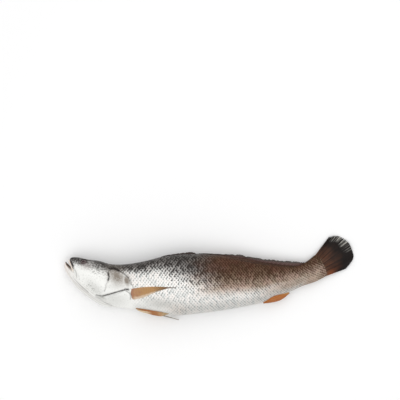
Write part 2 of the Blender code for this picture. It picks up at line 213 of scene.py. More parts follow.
# Painted shadow lines in the slits round the gill covers, under rims and in folds, partly the
# open gill slit's own dark: points along them, half width, strength.
SHADOW_LINES = {
    "gill_corner": (((-128.6, 19.2), (-122.4, 19.3), (-116.4, 16.6)), 1.6, 1.2),
    "gill_upper": (((-117.4, 17.2), (-112.3, 14.0), (-107.6, 10.6), (-104.0, 7.4)), 0.75, 0.7),
    "gill_tip": (((-101.9, 0.2), (-99.0, -2.3), (-97.8, -5.2)), 0.6, 0.5),
    "gill_black": (((-108.4, -7.5), (-104.6, -7.4)), 1.5, 1.0),
    "gill_lower": (
        ((-107.5, -7.5), (-112.3, -8.8), (-119.1, -10.8), (-126.6, -13.1), (-137.8, -16.3)),
        1.05,
        1.0,
    ),
    "gill_front": (((-137.8, -16.3), (-146.1, -15.3)), 1.0, 0.65),
    "cheek_rear": (((-131.0, 14.2), (-129.4, 8.8), (-130.6, 4.2)), 1.2, 1.0),
    "cheek_low": (((-130.6, 4.2), (-133.2, -2.0), (-133.4, -4.7), (-135.2, -9.9)), 0.7, 0.45),
    "jaw_line": (
        (
            (-178.1, 15.2),
            (-176.5, 10.8),
            (-174.7, 5.7),
            (-170.5, 0.6),
            (-165.2, -4.2),
            (-156.5, -11.7),
        ),
        0.7,
        0.35,
    ),
    "lip_rear": (((-174.3, 17.4), (-172.5, 13.8), (-172.1, 8.2), (-172.9, 4.6)), 0.7, 0.30),
    "cheek_fold": (((-170.0, 11.2), (-168.4, 7.0), (-168.2, 4.6)), 0.6, 0.2),
    "snout_rim": (((-181.3, 31.6), (-180.6, 29.0), (-178.6, 25.7), (-176.6, 22.3)), 1.3, 1.3),
    "brow": (((-165.6, 29.2), (-162.0, 30.3), (-158.6, 29.4)), 1.1, 1.1),
    "fin_base": (((28.0, 32.4), (50.7, 27.6), (68.9, 24.9), (92.3, 21.8), (112.0, 20.6)), 0.9, 0.42),
    "snout_low": (((-176.9, 22.5), (-175.9, 19.5)), 1.0, 0.6),
    "breast_fold": (((-107.0, -9.5), (-102.8, -12.3), (-101.2, -16.0), (-101.8, -20.5)), 0.8, 0.55),
    "throat": (((-146.9, -17.5), (-141.7, -20.2), (-133.9, -25.4), (-126.1, -29.2)), 0.8, 0.35),
}
# Soft round marks: centre, radii, turn, strength. First, grey-brown stains on the gill cover.
PATCHES = (
    ((-119.0, 9.2), (13.0, 9.4), -0.65, 1.15),
    ((-126.2, 13.0), (6.6, 5.4), -0.2, 0.85),
    ((-106.2, 4.2), (4.2, 6.4), 0.25, 1.35),
)
# Painted grey shade, partly the skin's own grey, in this order: under the gill slit, where it is
# a painted shadow, on the throat and breast, on the cheek and low on it, on the belly, at the tip
# of the gill flap, on the stalk and on the gill flap.
SHADES = (
    ((-139.0, -18.4), (7.0, 2.4), -0.15, 1.6),
    ((-122.0, -21.0), (21.0, 10.0), -0.1, 0.95),
    ((-148.0, -6.5), (15.0, 7.0), -0.72, 1.0),
    ((-161.0, -9.0), (12.0, 2.5), -0.72, 0.6),
    ((-64.0, -26.5), (21.0, 7.5), -0.05, 1.35),
    ((-103.5, -1.5), (4.5, 4.0), 0.0, 0.5),
    ((113.0, 2.0), (21.0, 7.0), 0.35, 0.9),
    ((-121.0, -4.5), (12.0, 4.0), 0.1, 0.5),
)
# Freckles low on the cheek, and high on it near its rear edge.
SPECKLES = (
    ((-151.0, -8.5), (17.0, 6.0), -0.72, 1.0),
    ((-140.0, 13.0), (12.0, 5.0), -0.25, 0.7),
)
# Marks of full strength: the dark red skin round the eye, and the belly behind the pelvic
# fins, which is warmer and less grey.
EYE_BLOOD = ((-160.0, 22.8), (7.0, 4.4), -0.3)
WARM_BELLY = ((-46.0, -33.5), (19.0, 9.0), -0.1)

LOW_PELVIC = ((-92.0, -33.0), (-76.0, -38.2), (-60.0, -42.8), (-39.4, -48.6))
LOW_PELVIC_HEIGHT = (17.0, 13.5, 9.5, 4.0)
LOW_PELVIC_WIDTH = (6.0, 8.0, 6.5, 1.2)
LOW_PELVIC_RAYS = 6
TAIL_ROOT = ((137.0, 33.6), (150.4, 7.6))
TAIL_MARGIN = (
    (157.0, 59.8),
    (167.6, 61.0),
    (180.4, 55.2),
    (187.4, 42.0),
    (188.4, 31.0),
    (179.0, 18.0),
)
TAIL_RAYS = 17
TAIL_ROOT_MID = 5.6  # height of the tail's middle plane at its root
TAIL_TIP_MID = 2.2
TAIL_WAVES = 2.5
TAIL_WAVE_HEIGHT = 0.9

# Fin colours at root, middle and tip and past a side ray, all linear; the number of the ray
# from which the side colour begins and the one where it is full; the places, from root, 0, to
# tip, 1, between which it ends; and the strength of the dark bars near the tip.
FIN_LOOKS = {
    "tan_fin": (
        ((0.46, 0.23, 0.14), (0.58, 0.335, 0.135), (0.22, 0.11, 0.05), (0.84, 0.70, 0.54)),
        (8.6, 11.8),
        (0.55, 0.8),
        0.85,
    ),
    "belly_fin": (
        ((0.36, 0.20, 0.09), (0.46, 0.17, 0.04), (0.60, 0.44, 0.24), (0.92, 0.76, 0.52)),
        (1.2, 2.6),
        (0.30, 0.52),
        0.0,
    ),
    "orange_fin": (
        ((0.56, 0.20, 0.035), (0.50, 0.155, 0.012), (0.42, 0.13, 0.02), (0.62, 0.36, 0.12)),
        (3.0, 6.0),
        (1.5, 2.0),
        0.0,
    ),
    "back_fin": (
        ((0.075, 0.025, 0.018), (0.10, 0.042, 0.035), (0.045, 0.036, 0.032), (0.10, 0.042, 0.035)),
        (60.0, 61.0),
        (0.55, 0.8),
        0.0,
    ),
    "low_belly_fin": (
        ((0.60, 0.42, 0.24), (0.52, 0.27, 0.10), (0.46, 0.33, 0.18), (0.36, 0.34, 0.30)),
        (4.9, 5.8),
        (1.5, 2.0),
        0.0,
    ),
}
# Grey of the painted shade laid into the skin's colour, partly the skin's own grey.
PAINTED_SHADE_GREY = (0.36, 0.36, 0.335)
# The black of the painted shadow lines.
SHADOW_LINE_BLACK = (0.022, 0.016, 0.014)

# The photograph's frame: one pixel is 1.3 mm, and this pixel is the origin of the tables.
PIXEL = 1.3
FRAME_PIXELS = 400
TABLE_ORIGIN_PIXEL = (209.0, 283.0)
CAMERA_DISTANCE = 3.2
CAMERA_PLANE = 0.02  # height of the fish's middle, where the frame's scale holds
SENSOR = 36.0
# Square lights: place and side in metres, power in watts.
LIGHTS = {"overhead": ((-0.12, -0.34, 1.64), 1.9, 13.4), "side": ((0.3, 1.1, 1.1), 1.2, 3.4)}
WORLD_STRENGTH = 0.66
FLOOR_SIZE = 6.0


def smooth_curve(points, at):
    """Catmull-Rom through the rows of points, read at positions from 0 to 1."""
    points = np.asarray(points, float)
    padded = np.vstack([2 * points[0] - points[1], points, 2 * points[-1] - points[-2]])
    along = np.clip(np.asarray(at, float), 0, 1) * (len(points) - 1)
    first = np.minimum(along.astype(int), len(points) - 2)
    f = (along - first)[..., None]
    p0, p1, p2, p3 = (padded[first + k] for k in range(4))
    return p1 + 0.5 * f * (
        p2 - p0 + f * (2 * p0 - 5 * p1 + 4 * p2 - p3 + f * (3 * (p1 - p2) + p3 - p0))
    )


def smooth_step(value, low, high):
    """0 below low, 1 above high, and 3t^2 - 2t^3 between them."""
    t = np.clip((value - low) / (high - low), 0, 1)
    return t * t * (3 - 2 * t)


def value_noise(x, y, seed):
    """Smooth noise from -1 to 1: random values on a unit lattice, blended with 3t^2 - 2t^3."""
    table = np.random.default_rng(seed).uniform(-1, 1, (LATTICE, LATTICE))
    cell_x, cell_y = np.floor(x).astype(int), np.floor(y).astype(int)
    tx, ty = x - cell_x, y - cell_y
    tx, ty = tx * tx * (3 - 2 * tx), ty * ty * (3 - 2 * ty)

    def corner(dx, dy):
        """The lattice's value at a cell's corner."""
        return table[(cell_x + dx) % LATTICE, (cell_y + dy) % LATTICE]

    low = corner(0, 0) * (1 - tx) + corner(1, 0) * tx
    high = corner(0, 1) * (1 - tx) + corner(1, 1) * tx
    return low * (1 - ty) + high * ty


def section_height(station, across, side):
    """Middle height plus or minus half the thickness times (1 - across^2)^(roundness / 2).

    It is a little more towards the back, and never below the ground.
    """
    thickness, underside = station[..., 4], station[..., 5]
    middle = underside + thickness / 2
    rise = np.sqrt(np.clip(1 - across**2, 0, 1)) ** ROUNDNESS
    height = middle + side * thickness / 2 * rise * (1 + BACK_FULLNESS * across)
    return np.maximum(height, 0)


def chord_plan(station, across):
    """Points in plan on a station's chord, from belly, across -1, to back, across +1."""
    return station[..., 2:4] + (station[..., 0:2] - station[..., 2:4]) * (across[..., None] + 1) / 2


def nearest_station(plan):
    """The station whose chord passes through each point in plan, and the place on that chord."""
    dense = smooth_curve(list(BODY.values()), np.linspace(0, 1, 900))
    back, belly = dense[:, 0:2], dense[:, 2:4]
    chord = back - belly
    length = np.linalg.norm(chord, axis=1)
    flat = plan.reshape(-1, 2)
    nearest = np.empty(len(flat), int)
    for start in range(0, len(flat), 4000):
        away = flat[start : start + 4000, None, :] - belly[None]
        beside = chord[None, :, 0] * away[..., 1] - chord[None, :, 1] * away[..., 0]
        nearest[start : start + 4000] = np.abs(beside / length).argmin(axis=1)
    along = ((flat - belly[nearest]) * chord[nearest]).sum(1) / length[nearest] ** 2
    across = np.clip(2 * along - 1, -1, 1)
    shape = plan.shape[:-1]
    return dense[nearest].reshape(*shape, -1), across.reshape(shape)


def skin_height(plan, side):
    """Height of the smooth skin over points in plan, by the section of the nearest station."""
    return section_height(*nearest_station(plan), side)


def over(plan, height):
    """Points x, y, z from points in plan and their heights."""
    return np.concatenate([plan, height[..., None]], axis=-1)


def between(first_edge, second_edge, rows, columns):
    """A grid in plan that runs along both edges, from the first to the second across."""
    along = np.linspace(0, 1, rows)
    first, second = smooth_curve(first_edge, along), smooth_curve(second_edge, along)
    share = np.linspace(0, 1, columns)[None, :, None]
    return first[:, None] + (second - first)[:, None] * share


def distance_to_line(plan, points):
    """Shortest distance in plan from each point to a smooth line through the points."""
    line = smooth_curve(points, np.linspace(0, 1, 24))
    best = np.full(plan.shape[:-1], 1e9)
    for a, b in zip(line[:-1], line[1:]):
        share = np.clip(((plan - a) @ (b - a)) / ((b - a) @ (b - a)), 0, 1)
        best = np.minimum(best, np.linalg.norm(plan - a - share[..., None] * (b - a), axis=-1))
    return best


def blob(plan, centre, radii, turn=0.0):
    """A soft round mark, exp(-r^2), with its own radii along and across its turned axis."""
    away = plan - np.array(centre)
    c, s = math.cos(turn), math.sin(turn)
    along = (away[..., 0] * c + away[..., 1] * s) / radii[0]
    beside = (-away[..., 0] * s + away[..., 1] * c) / radii[1]
    return np.exp(-(along**2) - beside**2)


def strongest(plan, blobs):
    """The greatest of several soft marks, each times its strength."""
    return np.max([blob(plan, *place) * strength for *place, strength in blobs], axis=0)


def grid_normals(points):
    """Unit normals of a grid, from the cross product of its two directions."""
    normal = np.cross(np.gradient(points, axis=0), np.gradient(points, axis=1))
    return normal / np.maximum(np.linalg.norm(normal, axis=-1, keepdims=True), 1e-9)


def outwards(normal, side):
    """The normals, all turned round if on the whole they point away from the side."""
    return normal * np.sign((normal[..., 2] * side).mean())


def grid_quads(rows, columns, start=0):
    """The four corners of each cell of a grid whose points count from start, row by row."""
    corner = (np.arange(rows - 1)[:, None] * columns + np.arange(columns - 1)).ravel() + start
    return np.stack([corner, corner + 1, corner + columns + 1, corner + columns], axis=1)


def ring_quads(rows, sides, closed=False):
    """Cells of a grid whose last column meets its first, as its rows do too if it is closed."""
    index = np.arange(rows * sides).reshape(rows, sides)
    index = np.pad(index, ((0, int(closed)), (0, 1)), mode="wrap")
    return index.ravel()[grid_quads(*index.shape)]


def end_caps(rows, sides):
    """The first and the last ring of a tube as one face each."""
    return [np.arange(sides)[::-1], np.arange(sides) + (rows - 1) * sides]


def make_piece(name, points, quads, material, maps=None, marks=None, caps=(), gap=1e-7):
    """A smooth closed piece that replaces the solid, from points in the tables' millimetres.

    UV maps and float attributes hold a value for each point. Points no further apart
    than the gap, in metres, become one, and every face is turned outwards.
    """
    mesh = bpy.data.meshes.new(name)
    place = (points.reshape(-1, 3) - np.array([*CENTRE, 0.0])) * MM
    mesh.from_pydata(place.tolist(), [], quads.tolist() + [list(c) for c in caps])
    corner = np.empty(len(mesh.loops), int)
    mesh.loops.foreach_get("vertex_index", corner)
    for label, values in (maps or {}).items():
        layer = mesh.uv_layers.new(name=label)
        layer.data.foreach_set("uv", values.reshape(-1, 2)[corner].astype(np.float32).ravel())
    for label, values in (marks or {}).items():
        attribute = mesh.attributes.new(label, "FLOAT", "POINT")
        attribute.data.foreach_set("value", values.astype(np.float32).ravel())
    mesh.polygons.foreach_set("use_smooth", [True] * len(mesh.polygons))
    mesh.materials.append(material)
    merged = bmesh.new()
    merged.from_mesh(mesh)
    bmesh.ops.remove_doubles(merged, verts=merged.verts, dist=gap)
    bmesh.ops.recalc_face_normals(merged, faces=merged.faces)
    merged.to_mesh(mesh)
    merged.free()
    obj = bpy.data.objects.new(name, mesh)
    bpy.context.scene.collection.objects.link(obj)
    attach(obj, "root")
    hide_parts(NODE)


def shell(name, top, bottom, material, maps=None, marks=None):
    """A closed thin piece between two grids of points, joined round their rims."""
    rows, columns = top.shape[:2]
    size = rows * columns
    index = np.arange(size).reshape(rows, columns)
    rim = np.concatenate([index[0, :-1], index[:-1, -1], index[-1, :0:-1], index[:0:-1, 0]])
    beside = np.roll(rim, -1)
    walls = np.stack([rim, beside, beside + size, rim + size], axis=1)
    cells = [grid_quads(rows, columns), grid_quads(rows, columns, size)[:, ::-1]]
    points = np.stack([top, bottom])
    maps = {k: np.stack([v, v]) for k, v in (maps or {}).items()}
    marks = {k: np.stack([v, v]) for k, v in (marks or {}).items()}
    make_piece(name, points, np.concatenate([*cells, walls]), material, maps, marks)


def named(name, side):
    """A piece's name with its side of the fish, left for 1 and right for -1."""
    return f"{name}_{'left' if side > 0 else 'right'}"


def flat_scales(plan):
    """The scale grid laid flat over the plan, as a UV map."""
    return {"scales": plan / np.array([SCALE_COLUMN, SCALE_ROW])}


def ray_grid(ray, out):
    """The number of the ray, and the place from root, 0, to tip, 1, as a UV map."""
    return {"rays": np.stack(np.broadcast_arrays(ray, out), axis=-1)}


def scale_cells(u, v):
    """Column, distance to the rim, row and lateral place of the scale that shows at a point.

    Scales sit in columns one unit apart, two rows apart in a column and one row
    off in the next. A scale's rim is its centre plus sqrt(reach - bow * lateral^2),
    and of the scales whose rim lies further back, the foremost one shows.
    """
    found = []
    for parity in (0, 1):
        shifted = v + parity + 1
        lateral = shifted % 2 - 1
        reach = np.sqrt(REACH_SQUARED - BOW_SQUARED * lateral**2)
        column = 2 * np.ceil((u - reach - parity) / 2) + parity
        found.append(np.stack([column, column + reach - u, np.floor(shifted / 2), lateral]))
    even, odd = found
    return np.where(even[0] < odd[0], even, odd)


def scale_relief(grid, seed):
    """Height of each scale: a slope up to its free rim, and a random tilt of its own."""
    column, rim, row, lateral = scale_cells(grid[..., 0], grid[..., 1])
    table = np.random.default_rng(seed).uniform(-1, 1, (3, 512, 512))
    rise, roll, pitch = table[:, column.astype(int) % 512, row.astype(int) % 512]
    slope = (1 - rim / SCALE_TURN) * (1 + 0.25 * rise)
    tilted = slope + 0.30 * roll * lateral + 0.20 * pitch * (rim - 0.8)
    return tilted * smooth_step(rim, -0.05, 0.28)


def skin_marks(plan, across):
    """Low, broad fields of colour over the skin, by place in plan and from belly to back.

    Dark, brown, bare and the painted shade are smooth steps of the place, with soft round
    marks added. A painted shadow line is strength * exp(-(distance to its line / width)^2).
    """
    x, y = plan[..., 0], plan[..., 1]
    uneven = value_noise(x / 20, y / 9, 3) + 0.6 * value_noise(x / 7, y / 4, 4)
    middle = np.interp(x, DARK_X, DARK_MIDDLE) + 0.05 * uneven
    width = np.interp(x, DARK_X, DARK_WIDTH)
    trunk = smooth_step(across, middle - 1.6 * width, middle + 1.6 * width)
    low = np.interp(x, CROWN_X, CROWN_LOW) + 0.8 * uneven
    crown = smooth_step(y, low, np.interp(x, CROWN_X, CROWN_HIGH))
    crown = (0.9 + 0.1 * smooth_step(x, -152, -138)) * crown
    dark = crown + (trunk - crown) * smooth_step(x, -112, -94)
    dark = dark + 0.4 * smooth_step(across, 0.78, 0.97) * smooth_step(x, -140, -112)
    dark = np.maximum(dark, 0.55 * smooth_step(x, 134, 150))
    brown = smooth_step(x + 8 * uneven, -34, 22) * smooth_step(across, -0.62, -0.08)
    brown = np.maximum(brown, 0.9 * smooth_step(x, 45, 105) * smooth_step(across, -1.1, -0.5))
    brown = np.maximum(brown, smooth_step(x, 104, 132))
    brown = np.maximum(brown, 0.36 * blob(plan, *WARM_BELLY))
    begin = np.interp(y, SCALED_Y, SCALED_X)
    spread = 2.0 + 16.0 * smooth_step(y, -10, -24)
    bare = 1 - smooth_step((x - begin) / spread, -0.25, 1.0)
    belly = smooth_step(across, -0.32, -0.66) * smooth_step(x, -34, -66)
    # Painted shade, with some of the belly's own grey: greyer towards the belly's edge, which turns
    # away from the light.
    painted_shade = 0.9 * smooth_step(-across, 0.50, 0.85) * smooth_step(x, -110, -85)
    painted_shade = painted_shade * (1 - 0.5 * blob(plan, *WARM_BELLY))
    lines = [
        strength * np.exp(-((distance_to_line(plan, points) / size) ** 2))
        for points, size, strength in SHADOW_LINES.values()
    ]
    return {
        "dark": dark,
        "brown": brown,
        # Painted light: it leans each scale's dark towards one half of its rim, as light caught on
        # the other half would show.
        "lean": 1.4 * smooth_step(x, -50, 5) - 0.4,
        "bare": np.maximum(bare, 0.72 * belly),
        "painted_shade": np.maximum(painted_shade, strongest(plan, SHADES)),
        "patch": strongest(plan, PATCHES),
        "blood": blob(plan, *EYE_BLOOD),
        "shadow_line": np.max(lines, axis=0),
        "speckle": strongest(plan, SPECKLES),
    }


def equal_steps_round(columns, width, height):
    """Turns from 0 to pi that are about equally far apart round a half ellipse."""
    turn = np.linspace(0, np.pi, 400)
    pace = np.hypot(width * np.sin(turn), height * np.cos(turn))
    walked = np.concatenate([[0], np.cumsum((pace[1:] + pace[:-1]) / 2)])
    return np.interp(np.linspace(0, walked[-1], columns), walked, turn)


def ring_places():
    """Station positions from 0 to 1, spaced by the steps for head and trunk, and their length."""
    at = np.linspace(0, 1, 2000)
    table = smooth_curve(list(BODY.values()), at)
    middle = (table[:, 0:2] + table[:, 2:4]) / 2
    length = np.concatenate([[0], np.cumsum(np.linalg.norm(np.diff(middle, axis=0), axis=1))])
    step = HEAD_STEP + (TRUNK_STEP - HEAD_STEP) * smooth_step(length, HEAD_END, HEAD_END + 15)
    count = np.concatenate([[0], np.cumsum(np.diff(length) / step[1:])])
    even = np.linspace(0, count[-1], int(count[-1]))
    return np.interp(even, count, at), np.interp(even, count, length)


def skin_half(side, columns):
    """Points, scale grid and place on one flank, from the back edge to the belly edge.

    The grid counts columns of scales along the body and rows of them down from the
    lateral line, both smaller towards the tail, and noise bends it a little.
    """
    at, length = ring_places()
    station = smooth_curve(list(BODY.values()), at)[:, None, :]
    turn = equal_steps_round(columns, *SECTION_HALVES)
    across = np.cos(turn)[None, :] * np.ones((len(at), 1))
    points = over(chord_plan(station, across), section_height(station, across, side))
    size = 1 - (1 - SCALE_TAIL_SIZE) * smooth_step(length, *SCALE_SHRINK)
    steps = np.linalg.norm(np.diff(points, axis=1), axis=2)
    walked = np.concatenate([np.zeros((len(at), 1)), np.cumsum(steps, axis=1)], axis=1)
    line = np.array([np.interp(-LATERAL_LINE, -across[0], row) for row in walked])
    v = (line[:, None] - walked) / (SCALE_ROW * size[:, None])
    u = np.concatenate([[0], np.cumsum(np.diff(length) / (SCALE_COLUMN * size)[1:])])
    grid = np.stack([u[:, None] * np.ones_like(v), v], axis=-1)
    for k in (0, 1):
        grid[..., k] += 0.26 * value_noise(points[..., 0] / 8, points[..., 1] / 6, 15 + k)
    return points, grid, across


def skin_piece(material):
    """The skin of head, trunk and stalk as one closed loft, with scales raised along normals."""
    halves = []
    for side, columns in ((1, TOP_COLUMNS), (-1, UNDER_COLUMNS)):
        points, grid, across = skin_half(side, columns)
        plan = points[..., :2]
        marks = skin_marks(plan, across)
        edge = smooth_step(1 - np.abs(across), 0.0, 0.06)
        uneven = 0.25 * value_noise(plan[..., 0] / 9, plan[..., 1] / 9, 11)
        relief = SCALE_RISE * scale_relief(grid, 12) * (1 - marks["bare"]) * edge
        relief = relief + uneven * marks["bare"] * edge
        for centre, radii, depth in NOSTRILS:
            relief = relief - depth * blob(plan, centre, radii) * edge
        raised = points + outwards(grid_normals(points), side) * relief[..., None]
        raised[:, [0, -1]] = points[:, [0, -1]]
        raised[..., 2] = np.maximum(raised[..., 2], 0.02)
        halves.append((raised, grid, marks))
    rows = len(halves[0][0])
    size = rows * TOP_COLUMNS
    quads = [grid_quads(rows, TOP_COLUMNS), grid_quads(rows, UNDER_COLUMNS, size)]
    points = np.concatenate([h[0].reshape(-1, 3) for h in halves])
    maps = {"scales": np.concatenate([h[1].reshape(-1, 2) for h in halves])}
    marks = {k: np.concatenate([h[2][k].ravel() for h in halves]) for k in halves[0][2]}
    caps = []
    for row in (0, rows - 1):
        top = np.arange(TOP_COLUMNS) + row * TOP_COLUMNS
        low = np.arange(UNDER_COLUMNS) + row * UNDER_COLUMNS + size
        caps.append(np.concatenate([top, low[-2:0:-1]]))
    make_piece("skin", points, np.concatenate(quads), material, maps, marks, caps, 1e-5)


def gill_cover(name, side, material):
    """A plate on the skin that lifts towards its free rear edge, with a rounded rim."""
    front, rear, lift = GILL_COVERS[name]
    plan = between(front, rear, COVER_COLUMNS, COVER_ROWS).transpose(1, 0, 2)
    out = np.linspace(0, 1, COVER_ROWS)[:, None]
    raised = -COVER_ROOT + (lift + COVER_ROOT) * out**0.6
    if name == "breast_plate":
        along = np.linspace(0, 1, COVER_COLUMNS)[None, :]
        raised = raised - BREAST_DIP * smooth_step(along, 0.42, 0.85)
    bumps = 0.22 * value_noise(plan[..., 0] / 6, plan[..., 1] / 6, 21)
    bumps = bumps + 0.10 * value_noise(plan[..., 0] / 2, plan[..., 1] / 2, 22)
    station, across = nearest_station(plan)
    skin = section_height(station, across, side)
    rounded = 0.35 * smooth_step(out, 0.96, 1.0) ** 2
    outer = skin + side * (raised + bumps - rounded)
    inner = skin + side * (raised - COVER_THICKNESS + rounded)
    marks = skin_marks(plan, across)
    marks["bare"] = np.ones_like(across)
    top = over(plan, np.maximum(outer, COVER_LOW))
    bottom = over(plan, np.maximum(inner, COVER_LOW + 0.3) if side < 0 else inner)
    shell(named(name, side), top, bottom, material, flat_scales(plan), marks)


def jaw_piece(material):
    """The lower jaw: a loft like the body's, with folds of skin that run along it.

    A fold is |cos|^10 of its place across, bent by noise. A ridge along the jawbone
    and a furrow under it are each exp(-(distance / width)^2).
    """
    rings, sides = 150, 96
    station = smooth_curve(JAW, np.linspace(0, 1, rings))[:, None, :]
    turn = np.linspace(0, 2 * np.pi, sides, endpoint=False)
    across = np.cos(turn)[None, :] * np.ones((rings, 1))
    side = np.where(np.sin(turn) < 0, -1.0, 1.0)[None, :]
    plan = chord_plan(station, across)
    points = over(plan, section_height(station, across, side))
    closed = np.concatenate([points[:, -1:], points, points[:, :1]], axis=1)
    normal = outwards(grid_normals(closed)[:, 1:-1], side)
    along = np.linspace(0, 1, rings)[:, None]
    phase = JAW_FOLDS * (across + 0.55 * along) + 0.35 * value_noise(along * 7, across * 2, 32)
    crease = np.abs(np.cos(np.pi * phase)) ** 10
    crease = crease * smooth_step(along, 0.18, 0.36) * smooth_step(along, 0.95, 0.75)
    crease = crease * smooth_step(across, 0.55, 0.2)
    ramus = np.exp(-(((across - 0.30 + 0.5 * along) / 0.34) ** 2)) * smooth_step(along, 0.7, 0.4)
    under = np.exp(-(((across + 0.72 - 0.25 * along) / 0.13) ** 2)) * smooth_step(along, 0.75, 0.4)
    folds = 0.6 * ramus - 0.55 * crease - 0.7 * under
    folds = folds + 0.2 * value_noise(plan[..., 0] / 5, plan[..., 1] / 5, 31)
    points = points + normal * (folds * smooth_step(along, 0.02, 0.12))[..., None]
    shown = skin_marks(plan, across)
    marks = {
        "along": np.repeat(along, sides, axis=1),
        "across": across,
        # Painted shade and painted shadow lines, carried over from the skin's marks.
        "painted_shade": shown["painted_shade"],
        "shadow_line": shown["shadow_line"] * smooth_step(along, 0.25, 0.4),
        # Depth of the folds and of the furrow, for the painted shade in them.
        "crease": np.maximum(crease, 0.8 * under),
    }
    quads, caps = ring_quads(rings, sides), end_caps(rings, sides)
    make_piece("lower_jaw", points, quads, material, flat_scales(plan), marks, caps)


def lip_piece(material):
    """The upper lip: a tube round the front of the snout, thinner towards its ends."""
    left = [(x, y, LIP_MIDDLE + z) for x, y, z in LIP]
    right = [(x, y, LIP_MIDDLE - z) for x, y, z in reversed(LIP)]
    rows, sides = 96, 24
    along = np.linspace(0, 1, rows)
    line = smooth_curve(left + right, along)
    heading = np.gradient(line, axis=0)
    heading /= np.linalg.norm(heading, axis=1, keepdims=True)
    first = np.cross(heading, np.array([0.86, 0.5, 0.0]))
    first /= np.linalg.norm(first, axis=1, keepdims=True)
    second = np.cross(heading, first)
    turn = np.linspace(0, 2 * np.pi, sides, endpoint=False)
    radius = LIP_RADIUS * (0.25 + 0.70 * np.sin(np.pi * along)[:, None] ** 0.6)
    radius = radius * (1 + 0.05 * value_noise(along[:, None] * 18, np.cos(turn)[None] * 2, 41))
    c, s = np.cos(turn)[None, :, None], np.sin(turn)[None, :, None]
    points = line[:, None] + (first[:, None] * c + second[:, None] * s) * radius[..., None]
    quads, caps = ring_quads(rows, sides), end_caps(rows, sides)
    make_piece("upper_lip", points, quads, material, caps=caps)


def eye_frame(side):
    """Middle of the eyeball, the way it looks, square to the skin, and two ways across that."""
    step = 1.0
    ways = np.array([[0, 0], [step, 0], [-step, 0], [0, step], [0, -step]]) + np.array(EYE_AT)
    height = skin_height(ways, side)
    slope = np.array([(height[1] - height[2]), (height[3] - height[4])]) / (2 * step)
    look = np.array([-slope[0], -slope[1], 1.0]) * side
    look /= np.linalg.norm(look)
    first = np.cross(look, np.array([1.0, 0, 0]))
    first /= np.linalg.norm(first)
    return np.array([*EYE_AT, height[0] - side * EYE_SUNK]), look, first, np.cross(look, first)


def eye_piece(side, material):
    """An eyeball as rings round its looking direction, with a slightly raised cornea."""
    centre, look, first, second = eye_frame(side)
    rows, sides = 48, 64
    tilt = np.linspace(0.0, np.pi, rows)[:, None]
    turn = np.linspace(0, 2 * np.pi, sides, endpoint=False)[None, :]
    radius = EYE_RADIUS * (1 + 0.05 * np.exp(-((tilt / 0.55) ** 2)))
    ring = first * np.cos(turn)[..., None] + second * np.sin(turn)[..., None]
    points = centre + (radius * np.sin(tilt))[..., None] * ring
    points = points + (radius * np.cos(tilt))[..., None] * look
    marks = {"off_axis": np.repeat(EYE_RADIUS * np.sin(tilt), sides, axis=1)}
    quads = ring_quads(rows, sides)
    make_piece(named("eye", side), points, quads, material, marks=marks, gap=1e-6)


def eyelid_piece(side, material):
    """The soft rim of skin round the eye: a ring whose section is a low rounded hump."""
    centre, look, first, second = eye_frame(side)
    rows, sides = 72, 16
    turn = np.linspace(0, 2 * np.pi, rows, endpoint=False)[:, None]
    roll = np.linspace(0, 2 * np.pi, sides, endpoint=False)[None, :]
    radius = EYELID_RADIUS + 0.25 * np.sin(3 * turn + 1.0) + EYELID_WIDTH * np.cos(roll)
    height = EYE_SUNK - 0.45 + EYELID_HEIGHT * np.sin(roll) + 0.15 * np.sin(2 * turn)
    points = (
        centre
        + (radius * np.cos(turn))[..., None] * first
        + (radius * np.sin(turn))[..., None] * second
        + height[..., None] * look
    )
    plan = points[..., :2]
    marks = skin_marks(plan, nearest_station(plan)[1])
    marks["bare"] = np.ones(plan.shape[:-1])
    quads = ring_quads(rows, sides, closed=True)
    make_piece(named("eyelid", side), points, quads, material, flat_scales(plan), marks)


def ray_ridges(across, out, rays, seed):
    """Ridges of fin rays, |cos|, that fork in two past the middle of the fin."""
    drift = 0.25 * value_noise(across * rays * 0.35, out * 2.0, seed)
    single = np.abs(np.cos(np.pi * (across * rays + drift))) ** 6
    double = np.abs(np.cos(2 * np.pi * (across * rays + drift))) ** 4
    fork = smooth_step(out, 0.35, 0.7)
    return single * (1 - fork) + double * fork


